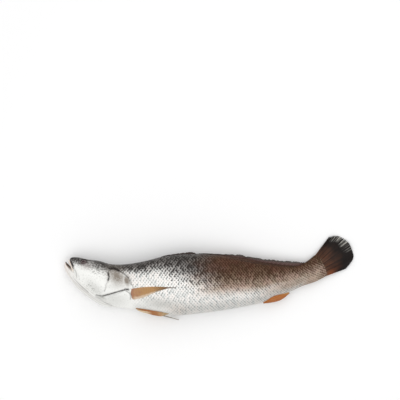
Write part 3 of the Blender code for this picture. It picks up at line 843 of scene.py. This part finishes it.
def lying_fin(name, edges, side, rays, lift, material):
    """A folded fin that lies on the flank: columns run round the section from edge to edge.

    It stands off along the skin's normals, with a ridge for each ray. Its root is
    sunk, its middle lifts a little, and the ends of its rays are uneven where it is wide.
    """
    rows, columns = 110, 64
    plan = between(*edges, rows, 2)
    out = np.linspace(0, 1, rows)[:, None]
    across = np.linspace(0, 1, columns)[None, :]
    station, place = nearest_station(plan)
    turn = np.arccos(place)
    turn = np.minimum(turn, FIN_WRAP - FIN_WRAP_ENDS * (2 * out - 1) ** 2)
    turn = turn[:, :1] + (turn[:, 1:] - turn[:, :1]) * across
    station = station[:, :1] + (station[:, 1:] - station[:, :1]) * across[..., None]
    place = np.cos(turn)
    plan = chord_plan(station, place)
    heading = np.gradient(plan, axis=0)
    heading /= np.linalg.norm(heading, axis=-1, keepdims=True)
    fray = value_noise(across * rays * 1.3, out * 0 + 0.5, 51) * 1.6 * smooth_step(out, 0.75, 1.0)
    width = np.linalg.norm(plan[:, -1:] - plan[:, :1], axis=-1)
    plan = plan + heading * (fray * smooth_step(width, 0.5, 5.0))[..., None]
    points = over(plan, section_height(station, place, side))
    normal = outwards(grid_normals(points), side)
    ridges = ray_ridges(across, out, rays, 52) * (1 - 0.6 * out) * smooth_step(out, 0.04, 0.2)
    arch = 0.75 - 0.17 * out + 0.5 * np.sin(np.pi * across) * (1 - out)
    rise = lift * smooth_step(out, 0.1, 0.6) * smooth_step(out, 1.0, 0.72)
    arch = arch + rise * (0.35 + 0.65 * across)
    wave = 0.22 * np.sin(7 * out + 5 * across) * smooth_step(out, 0.1, 0.5)
    root = 1 - smooth_step(out, 0.0, 0.10)
    outer = arch + wave + 0.28 * ridges - 1.7 * root
    inner = arch + wave - 0.42 * (1 - 0.5 * out) - 1.9 * root
    top, bottom = (points + normal * reach[..., None] for reach in (outer, inner))
    top[..., 2] = np.maximum(top[..., 2], 0.06)
    bottom[..., 2] = np.maximum(bottom[..., 2], 0.18 if side < 0 else 0.06)
    shell(name, top, bottom, material, ray_grid(across * rays, out))


def edge_fin(name, edges, rows, columns, rays, slant, ragged, material):
    """A low fin in the fish's middle plane: rays slope back, and its free edge is ragged."""
    plan = between(*edges, rows, columns)
    station, _ = nearest_station(plan)
    along = np.linspace(0, 1, rows)[:, None]
    out = np.linspace(0, 1, columns)[None, :]
    ray = along - slant * out
    uneven = 0.5 + 0.5 * value_noise(along * rays * 1.7, out * 0, 61)
    teeth = np.abs(np.sin(np.pi * rays * ray)) * uneven
    teeth = np.maximum(0.65 * teeth + 0.5 * value_noise(along * rays * 0.8, out * 0, 62), 0)
    root = plan[:, :1]
    reach = 1 - ragged * teeth * smooth_step(out, 0.55, 1.0)
    plan = root + (plan[:, -1:] - root) * (out * reach)[..., None]
    ripple = 0.5 * np.sin(7 * np.pi * along) * out
    middle = station[..., 5] + station[..., 4] / 2 + EDGE_FIN_LEAN * out + ripple
    ridges = np.abs(np.cos(np.pi * rays * ray)) ** 5
    half = 1.0 - 0.72 * out + 0.16 * ridges * out
    top, bottom = over(plan, middle + half), over(plan, middle - half)
    shell(name, top, bottom, material, ray_grid(ray * rays, out))


def low_pelvic_fin(material):
    """The right pelvic fin: a thin blade on edge that droops towards its tip."""
    rows, columns = 90, 36
    shape = np.c_[LOW_PELVIC, LOW_PELVIC_HEIGHT, LOW_PELVIC_WIDTH]
    line = smooth_curve(shape, np.linspace(0, 1, rows))
    heading = np.gradient(line[:, :2], axis=0)
    beside = np.c_[-heading[:, 1], heading[:, 0]] / np.linalg.norm(heading, axis=1)[:, None]
    across = np.linspace(0, 1, columns)[None, :]
    out = np.linspace(0, 1, rows)[:, None]
    height = line[:, 2:3] + (across - 0.5) * line[:, 3:4]
    ridges = np.abs(np.cos(np.pi * LOW_PELVIC_RAYS * across)) ** 4
    half = 0.9 - 0.62 * out + 0.20 * ridges * (1 - 0.5 * out)
    faces = []
    for way in (1, -1):
        plan = line[:, None, :2] + (beside[:, None] * (way * half)[..., None])
        faces.append(over(plan, height))
    shell("pelvic_fin_right", *faces, material, ray_grid(across * LOW_PELVIC_RAYS, out))


def tail_piece(material):
    """The tail fin: a half-spread fan whose rays fork, with a frayed margin.

    Columns run straight from the root to the margin. The margin is cut back by noise
    between the ends of the rays, most in the upper part.
    """
    rows, columns = 120, 330
    across = np.linspace(0, 1, columns)[None, :]
    out = np.linspace(0, 1, rows)[:, None]
    drift = across + 0.010 * value_noise(across * 13, out * 1.5, 74) * np.sin(np.pi * across)
    root = smooth_curve(TAIL_ROOT, across[0])[None]
    margin = smooth_curve(TAIL_MARGIN, across[0])[None]
    split = np.abs(np.cos(2 * np.pi * drift * TAIL_RAYS)) ** 0.7
    torn = 0.5 + 0.5 * value_noise(across * 23, out * 0, 71)
    upper = 1 - smooth_step(across, 0.30, 0.62)
    frayed = (0.004 + 0.10 * torn**1.5 * upper + 0.03 * torn**3) * (1 - split)
    frayed = frayed + 0.02 * (0.5 + 0.5 * value_noise(across * 9, out * 0, 75)) * upper
    plan = root + (margin - root) * (out * (1 - frayed * smooth_step(out, 0.6, 1.0)))[..., None]
    middle = TAIL_ROOT_MID + (TAIL_TIP_MID - TAIL_ROOT_MID) * out
    middle = middle + TAIL_WAVE_HEIGHT * out * np.sin(TAIL_WAVES * 2 * np.pi * across)
    middle = middle + 0.25 * value_noise(across * 14, out * 3, 72) * out
    ridges = ray_ridges(drift, out, TAIL_RAYS, 73)
    half = 1.5 - 1.22 * out**0.6 + 0.24 * ridges * (1 - 0.55 * out)
    corner = smooth_step(across, 0.04, 0.24) * (1 - smooth_step(across, 0.40, 0.66))
    marks = {"corner": np.repeat(corner, rows, axis=0)}
    top, bottom = over(plan, middle + half), over(plan, middle - half)
    shell("tail_fin", top, bottom, material, ray_grid(drift * TAIL_RAYS, out), marks)


class Graph:
    """Short calls that each add a node to a tree and give back its output."""

    def __init__(self, tree):
        """Keeps the tree that the nodes go into."""
        self.tree = tree

    def put(self, socket, value):
        """Links a socket to an output, or sets its value; a colour is given as red, green, blue."""
        if isinstance(value, bpy.types.NodeSocket):
            self.tree.links.new(value, socket)
        elif socket.type == "RGBA":
            socket.default_value = (*value, 1)
        else:
            socket.default_value = value

    def node(self, kind, inputs, **settings):
        """The outputs of a new node, with its inputs given by their names or numbers."""
        node = self.tree.nodes.new("ShaderNode" + kind)
        for name, value in settings.items():
            setattr(node, name, value)
        for socket, value in inputs.items():
            self.put(node.inputs[socket], value)
        return node.outputs

    def maths(self, operation, *values):
        """The operation on one, two or three values."""
        return self.node("Math", dict(enumerate(values)), operation=operation)[0]

    def times(self, first, *others):
        """The product of all the values."""
        for other in others:
            first = self.maths("MULTIPLY", first, other)
        return first

    def minus(self, first, second):
        """first - second."""
        return self.maths("SUBTRACT", first, second)

    def line(self, value, slope, start):
        """value * slope + start."""
        return self.maths("MULTIPLY_ADD", value, slope, start)

    def step(self, value, low, high, start=0.0, end=1.0):
        """The smooth step 3t^2 - 2t^3 of a value from low to high, put out from start to end."""
        ends = {"From Min": low, "From Max": high, "To Min": start, "To Max": end}
        inputs = {"Value": value, **ends}
        return self.node("MapRange", inputs, interpolation_type="SMOOTHSTEP")["Result"]

    def blend(self, share, first, second, way="MIX"):
        """first + share * (second - first) for colours, or their product by that share."""
        inputs = {0: share, 6: first, 7: second}
        return self.node("Mix", inputs, data_type="RGBA", blend_type=way)[2]

    def blend_values(self, share, first, second):
        """first + share * (second - first) for numbers."""
        return self.node("Mix", {0: share, 2: first, 3: second})[0]

    def noise(self, scale, detail=3.0, roughness=0.55, across=None):
        """Noise of so many grains per metre on the object, or per ray, alike along each ray."""
        if across is None:
            vector = self.node("TexCoord", {})["Object"]
        else:
            vector = self.node("CombineXYZ", {0: across})[0]
        inputs = {"Vector": vector, "Scale": scale, "Detail": detail, "Roughness": roughness}
        return self.node("TexNoise", inputs)["Fac"]

    def mark(self, name):
        """The piece's float attribute of that name."""
        return self.node("Attribute", {}, attribute_name=name)["Fac"]

    def parts(self, vector):
        """The x and y of a vector."""
        return self.node("SeparateXYZ", {0: vector})[:2]

    def fields(self, group, name):
        """A group's outputs over the piece's UV map of that name, and the map's own output."""
        grid = self.node("UVMap", {}, uv_map=name)[0]
        return self.node("Group", {"Grid": grid}, node_tree=group), grid

    def bump(self, height, strength, distance, normal=None):
        """The normal tilted by the slope of height * distance, times the strength."""
        inputs = {"Strength": strength, "Distance": distance, "Height": height}
        if normal is not None:
            inputs["Normal"] = normal
        return self.node("Bump", inputs)[0]


def new_group(name, outputs):
    """A shader group with a vector Grid as input: its graph, the grid's x and y, its outputs."""
    tree = bpy.data.node_groups.new(name, "ShaderNodeTree")
    tree.interface.new_socket("Grid", in_out="INPUT", socket_type="NodeSocketVector")
    for label in outputs:
        tree.interface.new_socket(label, in_out="OUTPUT", socket_type="NodeSocketFloat")
    graph = Graph(tree)
    x, y = graph.parts(tree.nodes.new("NodeGroupInput").outputs["Grid"])
    return graph, x, y, tree.nodes.new("NodeGroupOutput").inputs


def scale_group():
    """From the scale grid, as in scale_cells: Rim, Lateral and a Random value for each scale.

    Rim is the distance to the rim, and Lateral runs from -1 to 1 across a scale.
    """
    graph, u, v, end = new_group("fish_scales", ["Rim", "Lateral", "Random"])
    found = []
    for parity in (0, 1):
        shifted = graph.maths("ADD", v, parity + 1.0)
        lateral = graph.minus(graph.maths("FLOORED_MODULO", shifted, 2.0), 1.0)
        bow = graph.line(graph.times(lateral, lateral), -BOW_SQUARED, REACH_SQUARED)
        reach = graph.maths("SQRT", bow)
        ahead = graph.minus(graph.minus(u, reach), float(parity))
        column = graph.maths("CEIL", graph.times(ahead, 0.5))
        centre = graph.line(column, 2.0, float(parity))
        rim = graph.minus(graph.maths("ADD", centre, reach), u)
        row = graph.maths("FLOOR", graph.times(shifted, 0.5))
        found.append((centre, rim, lateral, row))
    even, odd = found
    first = graph.maths("LESS_THAN", even[0], odd[0])
    centre, rim, lateral, row = (graph.blend_values(first, odd[k], even[k]) for k in range(4))
    seat = graph.node("CombineXYZ", {0: centre, 1: row})[0]
    graph.put(end["Rim"], rim)
    graph.put(end["Lateral"], lateral)
    white = graph.node("TexWhiteNoise", {"Vector": seat}, noise_dimensions="2D")
    graph.put(end["Random"], white["Value"])
    return graph.tree


def ray_group():
    """From the ray grid: Ray, 1 on a ray and 0 between two, and Joint, a sine along the rays.

    Ray is |cos(pi * ray)|^5 near the root and |cos(2 pi * ray)|^3 near the tip.
    """
    graph, across, out, end = new_group("fin_rays", ["Ray", "Joint"])
    single, double = (
        graph.maths("ABSOLUTE", graph.maths("COSINE", graph.times(across, turn)))
        for turn in (math.pi, 2 * math.pi)
    )
    single = graph.maths("POWER", single, 5.0)
    double = graph.maths("POWER", double, 3.0)
    fork = graph.step(out, 0.35, 0.7)
    graph.put(end["Ray"], graph.blend_values(fork, single, double))
    joint = graph.maths("SINE", graph.times(out, 150.0))
    graph.put(end["Joint"], graph.line(joint, 0.5, 0.5))
    return graph.tree


def new_material(name):
    """A material with its graph and the inputs of its shader."""
    material = bpy.data.materials.new(name)
    material.use_nodes = True
    shader = material.node_tree.nodes["Principled BSDF"]
    return material, Graph(material.node_tree), shader.inputs


def coat(shader, specular, weight, roughness):
    """Sets how strongly the surface reflects, and the weight and roughness of its wet coat."""
    shader["Specular IOR Level"].default_value = specular
    shader["Coat Weight"].default_value = weight
    shader["Coat Roughness"].default_value = roughness


def skin_material(scales):
    """Silver skin: pale flank, dark pigment at the root of each scale that joins up on the back.

    Pigment is a smooth step of pattern + cover, where the pattern is highest at the
    roots of scales and varies from scale to scale, and the cover grows with the dark mark.
    """
    material, graph, shader = new_material("scaled_skin")
    fields, _ = graph.fields(scales, "scales")
    dark, brown, bare = (graph.mark(name) for name in ("dark", "brown", "bare"))
    fine = graph.noise(1100.0)
    coarse = graph.noise(520.0, 4.0, 0.6)
    broad = graph.noise(70.0)
    scaled = graph.minus(1.0, bare)
    rim, lateral, random = fields["Rim"], fields["Lateral"], fields["Random"]

    # Painted light: the lean tilts each scale's dark towards one half of its rim.
    depth = graph.line(graph.times(lateral, graph.mark("lean")), -0.42, rim)
    middle = graph.step(graph.maths("ABSOLUTE", lateral), 0.3, 1.0, 1.0, 0.55)
    root = graph.times(graph.step(depth, 0.25, 1.15), middle)
    pattern = graph.minus(graph.line(root, 0.80, graph.times(random, 0.76)), 0.75)
    pattern = graph.maths("ADD", graph.line(coarse, 2.0, -1.0), pattern)
    pattern = graph.blend_values(bare, pattern, graph.line(coarse, 2.8, -1.4))
    cover = graph.line(graph.minus(broad, 0.5), 0.5, graph.line(dark, 1.06, -0.59))
    soft = graph.line(bare, 0.32, graph.line(brown, 0.42, 0.28))
    pigment = graph.step(graph.maths("ADD", pattern, cover), graph.times(soft, -1.0), soft)
    pigment = graph.times(pigment, graph.step(dark, 0.0, 0.5, 0.42, 0.98))
    # Painted glints: the pigment thins where the pattern is low, so light flecks show on the dark
    # back.
    light = graph.line(brown, 0.36, 0.20)
    pigment = graph.times(pigment, graph.step(pattern, -0.55, 0.0, light, 1.0))

    pale = graph.blend(brown, (0.95, 0.95, 0.91), (0.51, 0.41, 0.325))
    # Painted shade on the pale flank: greyer towards each scale's covered root, varied by a random
    # tone from scale to scale.
    shade = graph.line(root, 0.62, graph.times(random, 0.45))
    shade = graph.times(graph.step(shade, 0.18, 0.88), 0.74)
    hollow = graph.blend(brown, (0.42, 0.405, 0.385), (0.31, 0.225, 0.165))
    pale = graph.blend(shade, pale, hollow)
    sheen = graph.blend(random, (0.98, 0.90, 0.90), (0.90, 0.96, 1.0))
    pale = graph.blend(0.55, pale, sheen, "MULTIPLY")
    pale = graph.blend(bare, pale, (0.93, 0.93, 0.90))
    # Painted shade, partly the skin's own grey, laid over the pale colour where its mark lies.
    painted_shade_colour = graph.blend(brown, PAINTED_SHADE_GREY, (0.30, 0.235, 0.185))
    pale = graph.blend(graph.times(graph.mark("painted_shade"), 0.40), pale, painted_shade_colour)
    muted = graph.blend(brown, (0.23, 0.215, 0.205), (0.185, 0.110, 0.072))
    pale = graph.blend(graph.step(dark, 0.25, 0.95, 0.0, 0.92), pale, muted)
    dim = graph.blend(brown, (0.14, 0.128, 0.120), (0.105, 0.050, 0.028))
    pale = graph.blend(graph.step(dark, 0.80, 1.0, 0.0, 0.75), pale, dim)
    deep = graph.blend(brown, (0.025, 0.021, 0.019), (0.050, 0.019, 0.007))
    faint = graph.blend(brown, (0.065, 0.058, 0.054), (0.12, 0.072, 0.050))
    deep = graph.blend(graph.step(dark, 0.35, 0.85), faint, deep)
    colour = graph.blend(pigment, pale, deep)
    tint = graph.blend(graph.step(broad, 0.38, 0.62), (1.06, 0.95, 0.99), (0.96, 1.02, 0.95))
    colour = graph.blend(graph.times(brown, dark), colour, tint, "MULTIPLY")
    # Painted shadow: a thin dark line along each scale's free rim, where it stands off the next.
    edge = graph.times(graph.step(rim, 0.0, 0.2, 1.0, 0.0), scaled, 0.22)
    colour = graph.blend(edge, colour, (0.22, 0.20, 0.18))
    stain = graph.times(graph.mark("patch"), graph.step(coarse, 0.30, 0.62, 0.72, 1.0))
    colour = graph.blend(stain, colour, (0.27, 0.235, 0.20))
    colour = graph.blend(graph.times(graph.mark("blood"), 0.45), colour, (0.14, 0.08, 0.085))
    freckle = graph.times(graph.step(coarse, 0.51, 0.66), graph.mark("speckle"), 0.80)
    colour = graph.blend(freckle, colour, (0.36, 0.36, 0.33))
    # Painted shadow along slits, rims and folds, broken up by noise.
    line_shade = graph.times(graph.mark("shadow_line"), graph.step(coarse, 0.25, 0.55, 0.6, 1.0))
    graph.put(shader["Base Color"], graph.blend(line_shade, colour, SHADOW_LINE_BLACK))

    graph.put(shader["Roughness"], graph.line(fine, 0.22, 0.27))
    graph.put(shader["Metallic"], graph.times(graph.minus(1.0, pigment), scaled, 0.30))
    coat(shader, 0.09, 0.05, 0.16)
    lift = graph.minus(1.0, graph.maths("DIVIDE", rim, SCALE_TURN))
    lift = graph.times(lift, graph.step(rim, 0.0, 0.14))
    rings = graph.times(graph.maths("SINE", graph.times(rim, 34.0)), 0.05)
    lift = graph.times(graph.maths("ADD", lift, rings), scaled)
    normal = graph.bump(lift, 0.6, 0.0004)
    graph.put(shader["Normal"], graph.bump(fine, 0.25, 0.0004, normal))
    return material


def jaw_material():
    """Pale skin, pinker at the chin, with a dark wet inner edge where the mouth is open.

    That edge, the gum's own dark and painted shade of the open mouth, is a smooth step towards
    the mouth times one towards the chin.
    """
    material, graph, shader = new_material("jaw_skin")
    along = graph.mark("along")
    coarse = graph.noise(200.0, 4.0)
    fine = graph.noise(900.0)
    tip = graph.step(along, 0.0, 0.35, 1.0, 0.0)
    colour = graph.blend(tip, (0.88, 0.88, 0.85), (0.86, 0.76, 0.70))
    reach = graph.step(along, 0.14, 0.30, 1.0, 0.0)
    # The gum's own dark and painted shade of the open mouth.
    gum_and_mouth_shade = graph.times(graph.step(graph.mark("across"), 0.10, 0.45), reach)
    wet = graph.blend(graph.step(coarse, 0.4, 0.6), (0.035, 0.02, 0.012), (0.16, 0.09, 0.05))
    colour = graph.blend(gum_and_mouth_shade, colour, wet)
    grain = graph.times(graph.step(coarse, 0.48, 0.70), 0.22)
    colour = graph.blend(grain, colour, (0.48, 0.48, 0.45))
    # Painted shade in the folds of the throat's skin and in the furrow under the jaw.
    colour = graph.blend(graph.times(graph.mark("crease"), 0.42), colour, (0.40, 0.33, 0.30))
    # Painted shade on the throat, from the same mark as on the skin.
    colour = graph.blend(graph.times(graph.mark("painted_shade"), 0.40), colour, PAINTED_SHADE_GREY)
    # Painted shadow lines on the jaw.
    colour = graph.blend(graph.times(graph.mark("shadow_line"), 0.8), colour, SHADOW_LINE_BLACK)
    graph.put(shader["Base Color"], colour)
    graph.put(shader["Roughness"], graph.line(fine, 0.2, 0.3))
    coat(shader, 0.35, 0.15, 0.2)
    graph.put(shader["Normal"], graph.bump(coarse, 0.3, 0.001))
    return material


def lip_material():
    """Two pale pinks, from one to the other by a smooth step of noise."""
    material, graph, shader = new_material("lip_skin")
    coarse = graph.noise(300.0)
    spots = graph.step(coarse, 0.35, 0.7)
    graph.put(shader["Base Color"], graph.blend(spots, (0.93, 0.86, 0.78), (0.80, 0.66, 0.56)))
    shader["Roughness"].default_value = 0.35
    shader["Coat Weight"].default_value = 0.3
    graph.put(shader["Normal"], graph.bump(coarse, 0.3, 0.0006))
    return material


def eye_material():
    """Pupil, cloudy iris and dark rim, by smooth steps of the distance off the eye's axis."""
    material, graph, shader = new_material("eye")
    off = graph.mark("off_axis")
    cloud = graph.noise(500.0)
    uneven = graph.maths("ADD", off, graph.times(graph.minus(cloud, 0.5), 0.8))
    pupil = graph.step(uneven, PUPIL_RADIUS - 0.4, PUPIL_RADIUS + 0.3)
    iris = graph.step(cloud, 0.35, 0.65)
    iris = graph.blend(iris, (0.15, 0.115, 0.112), (0.060, 0.042, 0.042))
    colour = graph.blend(pupil, (0.030, 0.012, 0.014), iris)
    colour = graph.blend(graph.step(off, *RIM_RADII), colour, (0.018, 0.012, 0.012))
    graph.put(shader["Base Color"], colour)
    shader["Roughness"].default_value = 0.28
    coat(shader, 0.3, 0.15, 0.12)
    graph.put(shader["Normal"], graph.bump(cloud, 0.05, 0.0005))
    return material


def fin_material(name, rays):
    """A fin's membrane and rays: colours by smooth steps from its root to its tip.

    Another colour lies over the rays on one side, dark bars, sin(125 out + ray), cross
    the tip, and the membrane between the rays is darker.
    """
    (root, middle, tip, side), (side_from, side_to), (side_end, side_fade), hatch = FIN_LOOKS[name]
    material, graph, shader = new_material(name)
    fields, grid = graph.fields(rays, "rays")
    across, out = graph.parts(grid)
    fine = graph.noise(1200.0)
    stray = graph.minus(graph.noise(220.0, 4.0), 0.5)
    place = graph.line(stray, 0.35, out)
    colour = graph.blend(graph.step(place, 0.0, 0.25), root, middle)
    colour = graph.blend(graph.step(place, 0.50, 0.95), colour, tip)
    beside = graph.step(graph.line(stray, 3.0, across), side_from, side_to)
    fade = graph.step(out, 0.02, 0.12)
    fade = graph.times(fade, graph.step(out, side_end, side_fade, 1.0, 0.0))
    colour = graph.blend(graph.times(beside, fade), colour, side)
    bars = graph.step(graph.maths("SINE", graph.line(out, 125.0, across)), -0.3, 0.9)
    bars = graph.times(bars, graph.step(out, 0.40, 0.56), hatch)
    colour = graph.blend(bars, colour, (0.11, 0.06, 0.03))
    between_rays = graph.times(graph.minus(1.0, fields["Ray"]), 0.40)
    colour = graph.blend(between_rays, colour, (0.25, 0.13, 0.06), "MULTIPLY")
    joint = graph.times(fields["Joint"], fields["Ray"], 0.12)
    graph.put(shader["Base Color"], graph.blend(joint, colour, (0.9, 0.8, 0.7)))
    graph.put(shader["Roughness"], graph.line(fine, 0.2, 0.36))
    coat(shader, 0.3, 0.08, 0.25)
    normal = graph.bump(fields["Ray"], 0.5, 0.0003)
    graph.put(shader["Normal"], graph.bump(fine, 0.2, 0.0003, normal))
    return material


def tail_material(rays):
    """Brown at the root, nearly black at the margin, and redder in the lower rays.

    Dark bands and, at the margin's upper corner, pale streaks follow the rays: they
    are smooth steps of noise that varies from ray to ray alone.
    """
    material, graph, shader = new_material("tail_fin")
    fields, grid = graph.fields(rays, "rays")
    across, out = graph.parts(grid)
    fine = graph.noise(1200.0)
    stray = graph.minus(graph.noise(90.0, 4.0), 0.5)
    place = graph.maths("ADD", out, graph.times(stray, 0.5))
    warm = graph.step(across, 12.0, 16.5)
    warm = graph.blend(warm, (0.125, 0.050, 0.025), (0.30, 0.080, 0.02))
    colour = graph.blend(graph.step(place, 0.0, 0.22), (0.22, 0.125, 0.08), warm)
    band = graph.step(graph.noise(1.0, 2.0, across=across), 0.42, 0.60, 0.0, 0.85)
    colour = graph.blend(band, colour, (0.026, 0.012, 0.009))
    colour = graph.blend(graph.step(place, 0.16, 0.74), colour, (0.008, 0.006, 0.0055))
    between_rays = graph.times(graph.minus(1.0, fields["Ray"]), 0.4)
    colour = graph.blend(between_rays, colour, (0.02, 0.012, 0.010))
    frayed = graph.times(graph.step(place, 0.70, 0.98), graph.mark("corner"))
    light = graph.step(graph.noise(1.9, 1.0, across=across), 0.46, 0.60)
    streak = graph.times(frayed, light, graph.step(fine, 0.35, 0.6, 0.5, 1.0))
    graph.put(shader["Base Color"], graph.blend(streak, colour, (0.50, 0.48, 0.44)))
    graph.put(shader["Roughness"], graph.line(fine, 0.2, 0.34))
    coat(shader, 0.12, 0.03, 0.25)
    normal = graph.bump(fields["Ray"], 0.6, 0.0004)
    graph.put(shader["Normal"], graph.bump(fine, 0.2, 0.0003, normal))
    return material


def fish():
    """Makes every piece of the fish; each plate, breast fin, eye and eyelid is made twice."""
    rays = ray_group()
    skin, eye = skin_material(scale_group()), eye_material()
    fins = {name: fin_material(name, rays) for name in FIN_LOOKS}
    skin_piece(skin)
    jaw_piece(jaw_material())
    lip_piece(lip_material())
    for side in (1, -1):
        eye_piece(side, eye)
        eyelid_piece(side, skin)
        for name in GILL_COVERS:
            gill_cover(name, side, skin)
        name = named("pectoral_fin", side)
        lying_fin(name, PECTORAL, side, PECTORAL_RAYS, 0.0, fins["tan_fin"])
    lying_fin("pelvic_fin_left", PELVIC, 1, PELVIC_RAYS, PELVIC_LIFT, fins["belly_fin"])
    low_pelvic_fin(fins["low_belly_fin"])
    for name, (edges, grid, count, slant, ragged, colours) in EDGE_FINS.items():
        edge_fin(name, edges, *grid, count, slant, ragged, fins[colours])
    tail_piece(tail_material(rays))


def floor():
    """A flat pale square under the fish."""
    bpy.ops.mesh.primitive_plane_add(size=FLOOR_SIZE)
    ground = bpy.context.object
    ground.name = "floor"
    material, graph, shader = new_material("floor")
    graph.put(shader["Base Color"], (0.95, 0.95, 0.95))
    shader["Roughness"].default_value = 0.9
    ground.data.materials.append(material)


def area_light(name, at, size, power):
    """A square light at a place, turned to the origin."""
    light = bpy.data.lights.new(name, "AREA")
    light.size = size
    light.energy = power
    obj = bpy.data.objects.new(name, light)
    obj.location = at
    obj.rotation_euler = (Vector((0, 0, 0)) - Vector(at)).to_track_quat("-Z", "Y").to_euler()
    bpy.context.scene.collection.objects.link(obj)


def studio():
    """Soft light from above and from the back's side, and a white world."""
    world = bpy.data.worlds.new("studio")
    world.use_nodes = True
    background = world.node_tree.nodes["Background"]
    background.inputs["Color"].default_value = (1, 1, 1, 1)
    background.inputs["Strength"].default_value = WORLD_STRENGTH
    bpy.context.scene.world = world
    for name, (at, size, power) in LIGHTS.items():
        area_light(name, at, size, power)
    bpy.context.scene.view_settings.view_transform = "Standard"


def camera():
    """The camera over the middle of the photo's frame; lens = sensor * distance / frame width."""
    data = bpy.data.cameras.new("camera")
    data.sensor_width = SENSOR
    data.lens = SENSOR * CAMERA_DISTANCE / (FRAME_PIXELS * PIXEL * MM)
    obj = bpy.data.objects.new("camera", data)
    middle = FRAME_PIXELS / 2
    x = ((middle - TABLE_ORIGIN_PIXEL[0]) * PIXEL - CENTRE[0]) * MM
    y = ((TABLE_ORIGIN_PIXEL[1] - middle) * PIXEL - CENTRE[1]) * MM
    obj.location = (x, y, CAMERA_PLANE + CAMERA_DISTANCE)
    bpy.context.scene.collection.objects.link(obj)
    bpy.context.scene.camera = obj


camera()
studio()
floor()
fish()
bpy.context.view_layer.update()
